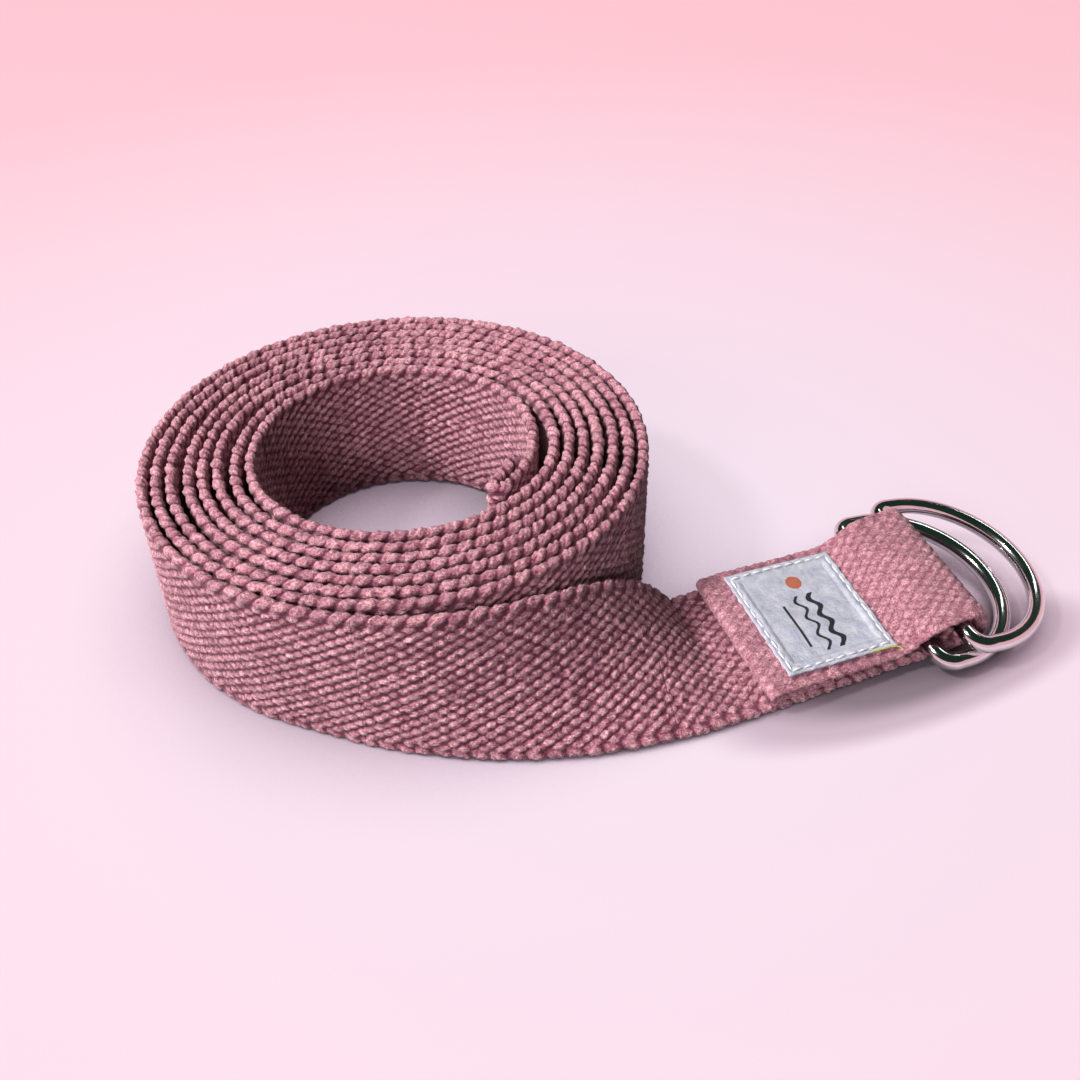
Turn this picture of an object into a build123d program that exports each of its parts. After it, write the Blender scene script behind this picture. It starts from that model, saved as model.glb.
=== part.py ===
"""Stretching strap: a long cotton webbing wound into a flat-lying coil, its free end sewn back
on itself round two D-rings, with a sewn-on fabric label.

Millimetres, +Z up, the strap stands on its selvedge on Z = 0. +X runs from the coil towards the
rings, and the origin is the bottom centre of the whole strap's box.
"""

import os
from math import atan2, cos, degrees, pi, radians, sin

from build123d import *

# ---------------------------------------------------------------- driving dimensions
WEB_WIDTH = 38.0            # 1 1/2 inch webbing
WEB_THICK = 2.8             # plump cotton webbing
TURN_PITCH = 3.85           # radial step of one turn: webbing and the slack between turns
COIL_CENTRE = (-48.804, 4.028) # centre of the outermost half turn
COIL_RADIUS = 61.6          # middle of the webbing's thickness, outermost half turn
COIL_END = -110.0           # where the webbing leaves the coil, degrees about its centre
FULL_HALF_TURNS = 15        # half turns, counted from the outside
LAST_ARC = 106.0            # what is left of the innermost half turn, degrees

TAIL_HEM_LENGTH = 12.0      # the cut end is turned in twice
TAIL_HEM_THICK = 4.2

LEAD_STRAIGHT = 13.0        # the stretch between coil and rings starts straight
LEAD_RADIUS = 123.8         # and goes on in one wide arc
LEAD_TURN = 42.5            # degrees of that arc
LEAN_END = 81.5             # degrees that the webbing has leaned over where the loop begins
LEAN_POWER = 2.05           # it leans slowly at first
LEAD_LENGTH = LEAD_STRAIGHT + radians(LEAD_TURN) * LEAD_RADIUS
LEAD_SECTIONS = 9
JOINT_GAP = 0.45            # open cut between two stretches of webbing that move apart

LOOP_LENGTH = 66.5          # from the cut to the outside of the fold
HEM_START = 6.5             # the turned-under hem begins this far past the cut
HEM_THICK = 4.8             # two pressed layers of webbing, thinning out under the label
HEM_ROUND = 1.6             # how far the fold of the hem bulges
SEAM_AT = 42.5              # the seam that closes the ring channel
CHANNEL_RISES = [(1.5, 0.0), (6.1, 4.8), (15.5, 7.6)]  # ceiling: past the seam, over its floor
LOOP_WIDTH = 37.0           # drawn in a little by the seams
CHANNEL_FLOOR = 2.7         # the webbing is pressed thinner under the rings

WIRE = 4.2                  # ring wire
RING_HALF_WIDTH = 23.6      # bar centre line, half
RING_LEG = 6.5              # straight legs beside the webbing
RING_CORNER = 4.0           # bend radius between bar and leg

LABEL_LENGTH = 30.0         # along the webbing
LABEL_WIDTH = 32.0
LABEL_THICK = 0.6
LABEL_START = 12.2          # past the cut
LABEL_EDGE = 3.1            # from the near selvedge
LABEL_TURN = -0.5           # sewn on slightly askew, degrees

THREAD = 0.55               # spun sewing thread
STITCH = 2.6                # visible stitch
STITCH_PITCH = 3.4
LABEL_SEAM_INSET = 1.3


# ---------------------------------------------------------------- helpers
def polar(centre, radius, angle):
    """Point at a radius and an angle in degrees about a centre, on the ground plane."""
    return (centre[0] + radius * cos(radians(angle)), centre[1] + radius * sin(radians(angle)))


def save(shape, name):
    """Write one node."""
    shape.label = name
    export_step(shape, f"parts/{name}.step")


def ruled_prism(sections):
    """Solid through rectangular cross sections."""
    return loft([Face(Wire.make_polygon(corners, close=True)) for corners in sections], ruled=True)


# ---------------------------------------------------------------- wound webbing
def half_turns():
    """Centre, middle radius, start and end angle of each arc, from the outside in."""
    arcs = []
    centre = COIL_CENTRE
    radius = COIL_RADIUS
    start = COIL_END
    for index in range(FULL_HALF_TURNS + 1):
        sweep = 180.0 if index < FULL_HALF_TURNS else LAST_ARC
        arcs.append((centre, radius, start, start - sweep))
        start -= sweep
        step = TURN_PITCH / 2
        centre = polar(centre, step, start)
        radius -= step
    return arcs


def arc_edge(centre, radius, start, end):
    """Arc from one angle to the other, the short way between them."""
    middle = (start + end) / 2
    return ThreePointArc(
        polar(centre, radius, start), polar(centre, radius, middle), polar(centre, radius, end)
    )


def make_coil():
    """Wound stretch of webbing with its turned-in tail, one closed strip stood on edge."""
    arcs = half_turns()
    half = WEB_THICK / 2
    outer = [arc_edge(c, r + half, a, b) for c, r, a, b in arcs]
    centre, radius, _, tail = arcs[-1]
    hem_turn = degrees(TAIL_HEM_LENGTH / radius)
    inner_radius = radius - half
    hem_radius = inner_radius - TAIL_HEM_THICK
    inner = [arc_edge(c, r - half, b, a) for c, r, a, b in reversed(arcs[:-1])]
    c, r, a, b = arcs[-1]
    inner.insert(0, arc_edge(c, r - half, b + hem_turn, a))
    tail_edges = [
        Line(polar(centre, radius + half, tail), polar(centre, hem_radius, tail)),
        arc_edge(centre, hem_radius, tail, tail + hem_turn),
        Line(polar(centre, hem_radius, tail + hem_turn), polar(centre, inner_radius, tail + hem_turn)),
    ]
    mouth = Line(
        polar(COIL_CENTRE, COIL_RADIUS - half, COIL_END), polar(COIL_CENTRE, COIL_RADIUS + half, COIL_END)
    )
    outline = Wire([*outer, *tail_edges, *inner, mouth])
    return extrude(Face(outline), amount=WEB_WIDTH, dir=(0, 0, 1))


# ---------------------------------------------------------------- stretch between coil and loop
def lead_frame(distance):
    """Lower edge point (middle of the thickness), width and thickness directions on the lead."""
    start = Vector(*polar(COIL_CENTRE, COIL_RADIUS, COIL_END))
    heading = COIL_END + 90.0
    left = Vector(-sin(radians(heading)), cos(radians(heading)))
    arc_centre = start + left * LEAD_RADIUS + left.rotate(Axis.Z, -90) * LEAD_STRAIGHT
    bent = max(distance - LEAD_STRAIGHT, 0.0)
    turned = radians(heading) + bent / LEAD_RADIUS
    normal = Vector(-sin(turned), cos(turned))
    lean = radians(LEAN_END * (max(distance, 0.0) / LEAD_LENGTH) ** LEAN_POWER)
    width = normal * sin(lean) + Vector(0, 0, cos(lean))
    thick = normal * -cos(lean) + Vector(0, 0, sin(lean))
    unbent = normal.rotate(Axis.Z, -90) * min(distance - LEAD_STRAIGHT, 0.0)
    point = arc_centre - normal * LEAD_RADIUS + unbent + Vector(0, 0, WEB_THICK / 2 * sin(lean))
    return point, width, thick


def make_lead():
    """Webbing that leaves the coil on edge and turns over until it lies nearly flat."""
    sections = []
    for index in range(LEAD_SECTIONS):
        share = index / (LEAD_SECTIONS - 1)
        distance = JOINT_GAP + share * (LEAD_LENGTH - 2 * JOINT_GAP)
        point, width, thick = lead_frame(distance)
        half = thick * (WEB_THICK / 2)
        far = width * WEB_WIDTH
        sections.append([point - half, point + half, point + half + far, point - half + far])
    return ruled_prism(sections)


# ---------------------------------------------------------------- loop at the end
def loop_plane():
    """Plane of the loop: x along the webbing to the rings, y across it, z out of its top."""
    point, width, thick = lead_frame(LEAD_LENGTH)
    origin = point - thick * (WEB_THICK / 2)
    return Plane(origin=origin, x_dir=width.cross(thick), z_dir=thick)


def loop_outline():
    """Side outline of the folded webbing with its hem, seam and ring channel."""
    hem_top = WEB_THICK + HEM_THICK
    hem_crest = HEM_START + HEM_ROUND
    ceiling = [(SEAM_AT + x, CHANNEL_FLOOR + z) for x, z in CHANNEL_RISES]
    channel_top = ceiling[-1][1]
    inner_radius = (channel_top - CHANNEL_FLOOR) / 2
    fold_radius = inner_radius + CHANNEL_FLOOR
    fold_at = LOOP_LENGTH - fold_radius
    seam_top = (SEAM_AT, 2 * WEB_THICK)
    shoulder = (ceiling[1][0] - 0.7, ceiling[1][1] + CHANNEL_FLOOR)
    crest = (ceiling[2][0], 2 * fold_radius)
    outside = [
        Line((0, 0), (fold_at, 0)),
        ThreePointArc((fold_at, 0), (LOOP_LENGTH, fold_radius), (fold_at, 2 * fold_radius)),
        Line((fold_at, 2 * fold_radius), crest),
        Line(crest, shoulder),
        Line(shoulder, seam_top),
        Line(seam_top, (hem_crest, hem_top)),
        ThreePointArc(
            (hem_crest, hem_top),
            (HEM_START, WEB_THICK + HEM_THICK / 2),
            (hem_crest, WEB_THICK),
        ),
        Line((hem_crest, WEB_THICK), (0, WEB_THICK)),
        Line((0, WEB_THICK), (0, 0)),
    ]
    channel = [
        Line(ceiling[0], (fold_at, CHANNEL_FLOOR)),
        ThreePointArc(
            (fold_at, CHANNEL_FLOOR), (fold_at + inner_radius, fold_radius), (fold_at, channel_top)
        ),
        Line((fold_at, channel_top), ceiling[2]),
        Line(ceiling[2], ceiling[1]),
        Line(ceiling[1], ceiling[0]),
    ]
    return outside, channel


def make_loop():
    """Webbing end folded back round the ring bars and turned under at its hem."""
    outside, channel = loop_outline()
    profile = Face(Wire(outside)) - Face(Wire(channel))
    side = Plane(origin=(0, 0, 0), x_dir=(1, 0, 0), z_dir=(0, -1, 0))
    solid = extrude(side * profile, amount=-LOOP_WIDTH, dir=(0, -1, 0))
    edge = (WEB_WIDTH - LOOP_WIDTH) / 2
    return loop_plane() * (Pos(0, edge, 0) * solid)


# ---------------------------------------------------------------- rings
UPPER_RING = {"along": 59.5, "across": -0.9, "height": 8.1, "skew": -2.5, "tip": -8.4}
LOWER_RING = {"along": 50.2, "across": -0.9, "height": 5.1, "skew": 0.0, "tip": -7.2}


def ring_plane(pose):
    """Plane of one ring: x out along its legs, y along its bar."""
    plane = loop_plane()
    spot = plane * Pos(pose["along"], WEB_WIDTH / 2 + pose["across"], pose["height"])
    return Plane(spot * Rot(0, 0, pose["skew"]) * Rot(0, -pose["tip"], 0))


def make_ring(pose):
    """D-ring bent from round wire, its bar on the webbing's side."""
    a = RING_HALF_WIDTH
    k = RING_CORNER
    far = k * (1 - cos(pi / 4))
    path = Wire([
        Line((0, -a + k), (0, a - k)),
        ThreePointArc((0, a - k), (far, a - far), (k, a)),
        Line((k, a), (RING_LEG, a)),
        ThreePointArc((RING_LEG, a), (RING_LEG + a, 0), (RING_LEG, -a)),
        Line((RING_LEG, -a), (k, -a)),
        ThreePointArc((k, -a), (far, -a + far), (0, -a + k)),
    ])
    section = Plane(origin=(0, 0, 0), z_dir=(0, 1, 0)) * Circle(WIRE / 2)
    ring = sweep(section, path=path)
    plane = ring_plane(pose)
    return plane * ring


# ---------------------------------------------------------------- label and threads
def label_location():
    """Corner of the label on the sloping top of the upper layer, a little out of square."""
    hem_crest = HEM_START + HEM_ROUND
    drop = HEM_THICK - WEB_THICK
    slope = drop / (SEAM_AT - hem_crest)
    height = WEB_THICK + HEM_THICK - slope * (LABEL_START - hem_crest)
    spot = loop_plane() * Pos(LABEL_START, LABEL_EDGE, height)
    return spot * Rot(0, degrees(atan2(slope, 1)), 0) * Rot(0, 0, LABEL_TURN)


def make_label():
    """Folded-edge fabric label lying on the upper layer."""
    slab = Pos(LABEL_LENGTH / 2, LABEL_WIDTH / 2, LABEL_THICK / 2) * Box(
        LABEL_LENGTH, LABEL_WIDTH, LABEL_THICK
    )
    return label_location() * slab


def stitch_row(start, end, height):
    """Row of lockstitches lying at one height between two points of the label's own plane."""
    run = Vector(*end) - Vector(*start)
    count = max(1, int(run.length // STITCH_PITCH))
    angle = degrees(atan2(run.Y, run.X))
    row = []
    for index in range(count):
        at = Vector(*start) + run * ((index + 0.5) / count)
        row.append(Pos(at.X, at.Y, height) * Rot(0, 0, angle) * Box(STITCH, THREAD, THREAD))
    return row


def seam_rectangle():
    """Corners of the seam that runs round the label."""
    low = LABEL_SEAM_INSET
    long_side = LABEL_LENGTH - LABEL_SEAM_INSET
    short_side = LABEL_WIDTH - LABEL_SEAM_INSET
    return [(low, low), (long_side, low), (long_side, short_side), (low, short_side)]


def make_seam(location, height):
    """Stitches of one thread round the label, at a height over the given place."""
    corners = seam_rectangle()
    stitches = []
    for start, end in zip(corners, corners[1:] + corners[:1]):
        stitches += stitch_row(start, end, height)
    return Compound([location * stitch for stitch in stitches])


def underside_location():
    """Place of the label's corner on the loop's underside."""
    return loop_plane() * Pos(LABEL_START, LABEL_EDGE, 0) * Rot(0, 0, LABEL_TURN)


def make_tail_stitches():
    """Stitches that hold the turned-in tail, on its inward face."""
    centre, radius, _, tail = half_turns()[-1]
    face_radius = radius - WEB_THICK / 2 - TAIL_HEM_THICK - THREAD / 2
    angle = tail + degrees(TAIL_HEM_LENGTH / radius) * 0.6
    x, y = polar(centre, face_radius, angle)
    count = int((WEB_WIDTH - 3) // STITCH_PITCH)
    stitches = []
    for index in range(count):
        height = WEB_WIDTH / 2 + (index - (count - 1) / 2) * STITCH_PITCH
        stitches.append(Pos(x, y, height) * Rot(0, 0, angle) * Box(THREAD, THREAD, STITCH))
    return Compound(stitches)


# ---------------------------------------------------------------- all nodes
def main():
    os.makedirs("parts", exist_ok=True)
    save(make_coil(), "webbing_coil")
    save(make_lead(), "webbing_lead")
    save(make_loop(), "webbing_loop")
    save(make_ring(UPPER_RING), "d_ring_upper")
    save(make_ring(LOWER_RING), "d_ring_lower")
    save(make_label(), "label_patch")
    save(make_seam(label_location(), LABEL_THICK + THREAD / 2), "label_seam_needle_thread")
    save(make_seam(underside_location(), -THREAD / 2), "label_seam_bobbin_thread")
    save(make_tail_stitches(), "tail_hem_thread")


main()
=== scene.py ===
# %% [markdown]
# # A rolled cotton stretching strap with two D-rings
# The strap is one long band of thick cotton webbing. It stands on its edge, wound into a coil, and its outer
# end turns over and closes round two metal rings. The CAD model gives the true sizes and the bodies that
# move. Here each stretch of webbing is made again with its woven yarns, and every surface gets its finish.

# %% Load the CAD frame
import math

import bpy
import numpy as np
from mathutils import Matrix, Vector


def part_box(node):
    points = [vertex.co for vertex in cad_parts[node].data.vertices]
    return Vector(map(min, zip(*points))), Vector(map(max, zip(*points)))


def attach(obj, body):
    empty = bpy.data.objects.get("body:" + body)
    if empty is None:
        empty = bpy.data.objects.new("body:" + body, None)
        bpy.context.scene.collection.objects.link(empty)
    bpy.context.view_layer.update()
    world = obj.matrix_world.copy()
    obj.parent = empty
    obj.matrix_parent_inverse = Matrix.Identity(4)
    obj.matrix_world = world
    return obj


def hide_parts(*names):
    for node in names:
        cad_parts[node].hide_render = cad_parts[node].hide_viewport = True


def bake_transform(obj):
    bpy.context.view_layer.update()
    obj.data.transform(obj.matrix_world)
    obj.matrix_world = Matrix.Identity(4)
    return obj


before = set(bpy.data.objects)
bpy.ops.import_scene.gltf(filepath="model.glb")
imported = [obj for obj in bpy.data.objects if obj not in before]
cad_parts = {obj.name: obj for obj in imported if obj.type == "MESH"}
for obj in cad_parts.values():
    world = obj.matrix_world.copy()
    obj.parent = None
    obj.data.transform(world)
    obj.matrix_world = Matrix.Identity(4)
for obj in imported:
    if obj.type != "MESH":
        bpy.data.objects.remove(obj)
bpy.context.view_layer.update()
bpy.ops.object.select_all(action="DESELECT")

# %% [markdown]
# ## The camera first
# Everything is judged through the camera, so it is made before any piece. It stands in front of the coil and
# looks down on it from about forty degrees. A real camera is never quite level, so this one leans a degree.

# %% Camera
MM = 0.001
coil_low, coil_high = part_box("webbing_coil")
COIL_OUTSIDE = 63.0 * MM
coil_centre = Vector((coil_low.x + COIL_OUTSIDE, coil_high.y - COIL_OUTSIDE, 0.0))
camera_target = coil_centre + Vector((35.0, 7.1, 0.0)) * MM
CAMERA_HEIGHT_ANGLE = math.radians(39.47)
CAMERA_DISTANCE = 325.7 * MM
CAMERA_LEAN = math.radians(-1.0)

camera_data = bpy.data.cameras.new("camera")
camera_data.lens = 40.0
camera_data.sensor_width = 36.0
camera = bpy.data.objects.new("camera", camera_data)
bpy.context.scene.collection.objects.link(camera)
away = Vector((0.0, -math.cos(CAMERA_HEIGHT_ANGLE), math.sin(CAMERA_HEIGHT_ANGLE)))
camera.location = camera_target + away * CAMERA_DISTANCE
facing = (-away).to_track_quat("-Z", "Y")
camera.rotation_mode = "QUATERNION"
camera.rotation_quaternion = facing @ Matrix.Rotation(CAMERA_LEAN, 3, "Z").to_quaternion()
camera_data.clip_start = 0.01
bpy.context.scene.camera = camera
print("camera at", [round(x, 4) for x in camera.location])

# %% [markdown]
# ## Small helpers for nodes
# A finish is a chain of nodes. A few helpers keep the chains short: they make a new material with its shader,
# add a node with its values and inputs, and add the kinds that come often: ramps, mixes, noises and bumps.


# %% Material helpers
def new_finish(name):
    """A material with nodes, and its shader."""
    material = bpy.data.materials.new(name)
    material.use_nodes = True
    return material, material.node_tree.nodes["Principled BSDF"]


def add_node(material, kind, values=None, inputs=None, **settings):
    """One node with its settings, its input values and what is joined to its inputs."""
    node = material.node_tree.nodes.new(kind)
    for key, value in settings.items():
        setattr(node, key, value)
    for key, value in (values or {}).items():
        node.inputs[key].default_value = value
    for key, source in (inputs or {}).items():
        material.node_tree.links.new(source, node.inputs[key])
    return node


def ramp(material, source, stops):
    """Colour ramp with the given (position, colour) stops."""
    node = add_node(material, "ShaderNodeValToRGB", inputs={"Fac": source})
    elements = node.color_ramp.elements
    elements[0].position, elements[0].color = stops[0]
    elements[1].position, elements[1].color = stops[-1]
    for position, color in stops[1:-1]:
        elements.new(position).color = color
    return node.outputs["Color"]


def mix(material, kind, factor, first, second):
    """Mix of two colours; each may be a colour or a socket."""
    node = add_node(material, "ShaderNodeMix", data_type="RGBA", blend_type=kind)
    for socket, value in ((node.inputs[0], factor), (node.inputs[6], first), (node.inputs[7], second)):
        if isinstance(value, bpy.types.NodeSocket):
            material.node_tree.links.new(value, socket)
        else:
            socket.default_value = value
    return node.outputs[2]


def noise(material, place, scale, detail, roughness=0.5):
    """Cloudy noise, from 0 to 1, at a place."""
    return add_node(material, "ShaderNodeTexNoise", inputs={"Vector": place},
                    values={"Scale": scale, "Detail": detail, "Roughness": roughness}).outputs["Fac"]


def bumped(material, height, strength, distance, normal=None):
    """Direction of a surface with small bumps, on top of the bumps it may already have."""
    inputs = {"Height": height} if normal is None else {"Height": height, "Normal": normal}
    return add_node(material, "ShaderNodeBump", inputs=inputs,
                    values={"Strength": strength, "Distance": distance}).outputs["Normal"]


# %% [markdown]
# ## Where the webbing runs
# The webbing is drawn by one number: the distance along it, measured from the tail in the middle of the
# coil. For any distance we need a point on its lower edge, the way across its width, and the way out of its
# outer face. With those three, one builder can weave every stretch, and the pattern runs on unbroken from
# one stretch to the next.

# %% Sizes of the webbing and the winding
WEB_WIDTH = 38.0 * MM
WEB_THICK = 2.8 * MM
TURN_PITCH = 3.85 * MM
COIL_RADIUS = COIL_OUTSIDE - WEB_THICK / 2
COIL_END = math.radians(-110.0)
HALF_TURNS = 15
LAST_TURNING = math.radians(106.0)
STATION = 0.42 * MM


def on_plan(centre, radius, angle):
    """Points at a radius and angles about a centre, on the floor plan."""
    return np.stack([centre[0] + radius * np.cos(angle), centre[1] + radius * np.sin(angle)], -1)


def smooth(values, reach):
    """Running average that keeps the ends where they are."""
    kernel = np.hanning(2 * reach + 1)
    padded = np.concatenate([np.full(reach, values[0]), values, np.full(reach, values[-1])])
    return np.convolve(padded, kernel / kernel.sum(), "valid")


# %% [markdown]
# ### A spiral wound by hand
# The frame's coil is a neat spiral of half turns. A strap wound by hand is never so even: some turns lie
# tight together and others stand apart. The next cell lists, in millimetres for each turn from the outside
# in, how far the turn stands out from the neat spiral at six places round it. The places are degrees of
# turning, counted from the mouth, where the webbing leaves the coil.

# %% Slack between the turns
SLACK_PLACES = (45.0, 70.0, 140.0, 250.0, 268.0, 330.0)
SLACK = (
    (-0.1, -0.4, 0.1, 0.5, 1.0, 0.4),
    (0.5, -0.1, 0.3, 0.8, 1.2, 0.5),
    (0.9, 0.5, 0.5, 0.9, 1.2, 0.6),
    (0.7, 0.1, 0.5, 1.0, 1.3, 0.6),
    (1.4, 0.4, 0.7, 1.3, 1.5, 0.7),
    (1.5, 1.0, 0.9, 1.6, 1.8, 0.8),
    (1.6, 0.3, 0.9, 1.7, 2.0, 0.8),
    (1.5, 0.5, 0.9, 0.4, 0.3, 0.2),
)


def winding():
    """Plan points of the coil from the mouth inward, with the slack of each turn."""
    centre = np.array(coil_centre[:2])
    radius = COIL_RADIUS
    angle = COIL_END
    turned = 0.0
    points, turnings = [], []
    for index in range(HALF_TURNS + 1):
        sweep = math.pi if index < HALF_TURNS else LAST_TURNING
        share = np.linspace(0.0, 1.0, 400, endpoint=index == HALF_TURNS)
        points.append(on_plan(centre, radius, angle - share * sweep))
        turnings.append(turned + share * sweep)
        turned += sweep
        angle -= sweep
        centre = centre + (TURN_PITCH / 2) * np.array([math.cos(angle), math.sin(angle)])
        radius -= TURN_PITCH / 2
    points = np.concatenate(points)
    turnings = np.concatenate(turnings)
    knots = [0.0] + [turn * 360.0 + place for turn in range(len(SLACK)) for place in SLACK_PLACES]
    offsets = [0.0] + [value for row in SLACK for value in row]
    slack = smooth(np.interp(np.degrees(turnings), knots, offsets), 40) * MM
    slack *= np.clip(np.degrees(turnings) / 40.0, 0.0, 1.0)
    outward = np.stack([np.cos(COIL_END - turnings), np.sin(COIL_END - turnings)], -1)
    return points + outward * slack[:, None]


def resample(points, step):
    """The same line with evenly spaced points, first to last."""
    lengths = np.concatenate([[0.0], np.cumsum(np.linalg.norm(np.diff(points, axis=0), axis=1))])
    count = max(2, int(round(lengths[-1] / step)) + 1)
    at = np.linspace(0.0, lengths[-1], count)
    return np.stack([np.interp(at, lengths, points[:, k]) for k in range(points.shape[1])], -1), at


def rounded(corners, rounds):
    """A line with its corners cut a few times over."""
    line = np.array(corners, float)
    for _ in range(rounds):
        first, last = line[:1], line[-1:]
        a = line[:-1] * 0.75 + line[1:] * 0.25
        b = line[:-1] * 0.25 + line[1:] * 0.75
        line = np.concatenate([first, np.stack([a, b], 1).reshape(-1, 2), last])
    return line


def side_directions(points):
    """Outward direction beside a plan line that runs from the tail to the mouth."""
    along = np.gradient(points, axis=0)
    along /= np.linalg.norm(along, axis=1)[:, None]
    return np.stack([along[:, 1], -along[:, 0]], -1)


coil_line, coil_at = resample(winding()[::-1], STATION)
COIL_LENGTH = coil_at[-1]
coil_out = side_directions(coil_line)
print("webbing in the coil:", round(COIL_LENGTH, 3), "m in", len(coil_line), "stations")

# %% [markdown]
# ### From the coil to the rings
# Past the coil the webbing runs straight for a moment, then in one wide arc, and turns over from upright to
# nearly flat, slowly at first. The same rule is used as in the frame, so the pieces land on its joints.

# %% The stretch that turns over
LEAD_STRAIGHT = 13.0 * MM
LEAD_RADIUS = 123.8 * MM
LEAD_TURN = math.radians(42.5)
LEAD_LENGTH = LEAD_STRAIGHT + LEAD_RADIUS * LEAD_TURN
LEAN_END = math.radians(81.5)
LEAN_POWER = 2.05


def lead_stations(distance):
    """Lower edge points, width directions and outward directions at distances past the mouth."""
    distance = np.asarray(distance, float)
    start = on_plan(np.array(coil_centre[:2]), COIL_RADIUS, np.array(COIL_END))
    heading = COIL_END + math.pi / 2
    ahead = np.array([math.cos(heading), math.sin(heading)])
    centre = start + LEAD_RADIUS * np.array([-ahead[1], ahead[0]]) + LEAD_STRAIGHT * ahead
    turned = heading + np.maximum(distance - LEAD_STRAIGHT, 0.0) / LEAD_RADIUS
    normal = np.stack([-np.sin(turned), np.cos(turned), np.zeros_like(turned)], -1)
    lean = LEAN_END * np.clip(distance / LEAD_LENGTH, 0.0, 1.0) ** LEAN_POWER
    up = np.array([0.0, 0.0, 1.0])
    across = normal * np.sin(lean)[:, None] + up * np.cos(lean)[:, None]
    out = up * np.sin(lean)[:, None] - normal * np.cos(lean)[:, None]
    point = np.append(centre, 0.0) - normal * LEAD_RADIUS
    point = point + np.minimum(distance - LEAD_STRAIGHT, 0.0)[:, None] * np.append(ahead, 0.0)
    point = point + up * (WEB_THICK / 2 * np.sin(lean))[:, None]
    return point, across, out


end_point, end_across, end_out = (Vector(x[0]) for x in lead_stations([LEAD_LENGTH]))
loop_origin = end_point - end_out * (WEB_THICK / 2)
loop_along = end_across.cross(end_out).normalized()
print("loop starts at", [round(x, 4) for x in loop_origin], "heading", [round(x, 3) for x in loop_along])

# %% [markdown]
# ## How the webbing is woven
# Thick webbing shows short plump loops of yarn, called floats. They lie like bricks in a wall: each row is
# half a brick further on than the row below, and each float leans up towards its neighbour, so they read as
# slanting ribs with dark grooves between. Along both edges the weft turns round and makes a row of beads.
# A bump map alone would look flat at the rim, so the yarns are real shape: every point of the mesh is
# pushed out by the height of the yarn under it.

# %% The pattern of floats and edge beads
FLOAT_STEP = 4.2 * MM
ROW_STEP = 1.31 * MM
FLOAT_HALF_LENGTH = 1.42 * MM
FLOAT_HALF_WIDTH = 0.93 * MM
FLOAT_LEAN = math.radians(9.0)
FLOAT_HEIGHT = 0.50 * MM
BARE_EDGE = 1.7 * MM
BEAD_HALF_LENGTH = 1.95 * MM
BEAD_HALF_ROUND = 2.7 * MM
BEAD_HEIGHT = 0.56 * MM
CORE_HALF = 0.85 * MM
RIM_INSET = 0.45 * MM
UNEVEN = 0.20 * MM


def chance(i, j, salt):
    """A repeatable random number from 0 to 1 for each pair of whole numbers."""
    value = np.sin(i * 12.9898 + j * 78.233 + salt * 37.719) * 43758.5453
    return value - np.floor(value)


def float_height(along, across, side):
    """Height, from 0 to 1, and yarn number of the floats of one face."""
    height = np.zeros(np.broadcast(along, across).shape)
    yarn = np.zeros_like(height)
    first = np.floor(across / ROW_STEP)
    last_row = math.floor((WEB_WIDTH - BARE_EDGE) / ROW_STEP - 0.5)
    for row_shift in (-1, 0, 1, 2):
        row = first + row_shift
        inside = (row * ROW_STEP > BARE_EDGE - 0.2 * MM) & (row <= last_row)
        start = row * FLOAT_STEP / 2
        nearest = np.round((along - start) / FLOAT_STEP)
        for column_shift in (-1, 0, 1):
            column = nearest + column_shift
            r1, r2 = chance(column, row, side), chance(column, row, side + 5)
            r3, r4 = chance(column, row, side + 11), chance(column, row, side + 17)
            x = along - (start + column * FLOAT_STEP + (r1 - 0.5) * 0.45 * MM)
            y = across - (row * ROW_STEP + (r2 - 0.5) * 0.22 * MM)
            lean = FLOAT_LEAN + (r3 - 0.5) * 0.25
            u = (x * np.cos(lean) + y * np.sin(lean)) / (FLOAT_HALF_LENGTH * (0.9 + 0.22 * r4))
            v = (y * np.cos(lean) - x * np.sin(lean)) / (FLOAT_HALF_WIDTH * (0.9 + 0.2 * r1))
            round_part = np.clip(1.0 - u * u - v * v, 0.0, 1.0)
            bump = round_part ** 0.55 * (0.82 + 0.25 * r2) * (1.0 + 0.16 * u)
            bump = np.where(inside, bump, 0.0)
            higher = bump > height
            yarn = np.where(higher, r3, yarn)
            height = np.maximum(height, bump)
    return height, yarn


def bead_height(along, from_rim, salt):
    """Height, from 0 to 1, and yarn number of the beads along one edge."""
    height = np.zeros(np.broadcast(along, from_rim).shape)
    yarn = np.zeros_like(height)
    nearest = np.round(along / FLOAT_STEP)
    for shift in (-1, 0, 1):
        bead = nearest + shift
        r1, r2, r3 = chance(bead, 0, salt), chance(bead, 1, salt), chance(bead, 2, salt)
        skew = from_rim * (0.60 + 0.3 * (r3 - 0.5))
        half_length = BEAD_HALF_LENGTH * (0.92 + 0.16 * r2)
        u = (along - bead * FLOAT_STEP - (r1 - 0.5) * 0.5 * MM - skew) / half_length
        v = (from_rim - (r2 - 0.5) * 0.5 * MM) / (BEAD_HALF_ROUND * (0.9 + 0.2 * r1))
        bump = np.clip(1.0 - np.abs(u) ** 2.6 - v * v, 0.0, 1.0) ** 0.6 * (0.82 + 0.3 * r3) * (1.0 - 0.12 * u)
        between_strands = np.exp(-((u - 0.85 * v + 0.15) / 0.2) ** 2)
        bump = bump * (1.0 - 0.42 * between_strands)
        higher = bump > height
        yarn = np.where(higher, r2, yarn)
        height = np.maximum(height, bump)
    return height, yarn


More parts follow.
